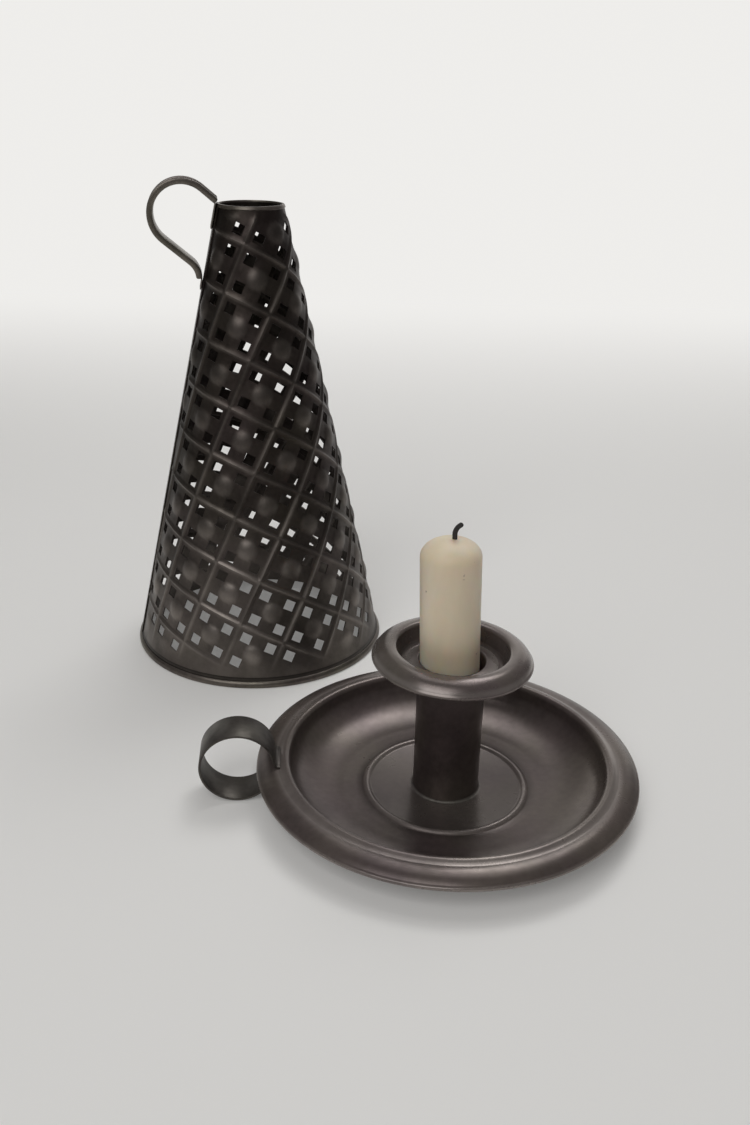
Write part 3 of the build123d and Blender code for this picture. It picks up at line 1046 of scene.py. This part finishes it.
links.new(place.outputs["Object"], parts.inputs["Vector"])
links.new(parts.outputs["Y"], far_back.inputs["Value"])
links.new(path.outputs["Is Camera Ray"], seen.inputs[0])
links.new(path.outputs["Is Glossy Ray"], seen.inputs[1])
links.new(seen.outputs[0], seen_through.inputs[0])
links.new(path.outputs["Is Transmission Ray"], seen_through.inputs[1])
links.new(far_back.outputs["Result"], share.inputs[0])
links.new(seen_through.outputs[0], share.inputs[1])
links.new(share.outputs[0], blend.inputs["Fac"])
links.new(paper.outputs["BSDF"], blend.inputs[1])
links.new(ground.outputs["Emission"], blend.inputs[2])
links.new(blend.outputs["Shader"], nodes["Material Output"].inputs["Surface"])
floor.data.materials.append(pale)


# Light: a small lamp high behind the object and a little to the right, which lies as a soft
# shine in the back of the dish, a broad one above it, and the broadest from the front left.
# The sky is dark grey, a little paler towards the back and the top.
def lamp(name, place, aim, size, power):
    """A square soft lamp that looks at a point."""
    light = bpy.data.lights.new(name, "AREA")
    light.energy = power
    light.size = size
    holder = bpy.data.objects.new(name, light)
    bpy.context.scene.collection.objects.link(holder)
    holder.location = place
    holder.rotation_euler = (Vector(aim) - Vector(place)).to_track_quat("-Z", "Y").to_euler()


lamp("lamp_back", place=(0.22, 0.72, 1.15), aim=(0, 0.03, 0.03), size=0.5, power=2.9)
lamp("lamp_above", place=(0.1, 0.5, 1.34), aim=(0, 0.04, 0.05), size=0.9, power=3.6)
lamp("lamp_front", place=(-0.5, -1.1, 1.3), aim=(-0.03, 0.05, 0.05), size=1.2, power=11)
world = bpy.data.worlds.new("studio_sky")
bpy.context.scene.world = world
world.use_nodes = True
nodes = world.node_tree.nodes
links = world.node_tree.links
place = nodes.new("ShaderNodeTexCoord")
parts = nodes.new("ShaderNodeSeparateXYZ")
backwards = nodes.new("ShaderNodeMath")
backwards.operation = "MULTIPLY_ADD"
backwards.inputs[1].default_value = 0.3
backwards.inputs[2].default_value = 0.3
upwards = nodes.new("ShaderNodeMath")
upwards.operation = "MULTIPLY_ADD"
upwards.inputs[1].default_value = 0.45
sky = nodes.new("ShaderNodeValToRGB")
sky.color_ramp.elements[0].color = (0.1, 0.098, 0.095, 1)
sky.color_ramp.elements[1].color = (0.2, 0.197, 0.194, 1)
links.new(place.outputs["Generated"], parts.inputs["Vector"])
links.new(parts.outputs["Y"], backwards.inputs[0])
links.new(parts.outputs["Z"], upwards.inputs[0])
links.new(backwards.outputs[0], upwards.inputs[2])
links.new(upwards.outputs[0], sky.inputs["Fac"])
links.new(sky.outputs["Color"], nodes["Background"].inputs["Color"])
bpy.context.scene.view_settings.view_transform = "Standard"


# Camera: in front of the dish and above the candle's top, looking slightly down, with the
# small tilt of a camera held in the hand.
frame_height = 1125
focal_pixels = 1074.2
camera_pitch = radians(24.02)
camera_roll = radians(1.38)
camera_data = bpy.data.cameras.new("photo_camera")
camera_data.sensor_fit = "VERTICAL"
camera_data.sensor_height = 36
camera_data.lens = focal_pixels / frame_height * camera_data.sensor_height
camera_data.clip_start = 0.01
camera = bpy.data.objects.new("photo_camera", camera_data)
bpy.context.scene.collection.objects.link(camera)
camera.location = (-28.98 * mm, -342.61 * mm, 245.28 * mm)
looking = Matrix.Rotation(pi / 2 - camera_pitch, 3, "X") @ Matrix.Rotation(camera_roll, 3, "Z")
camera.rotation_euler = looking.to_euler()
bpy.context.scene.camera = camera
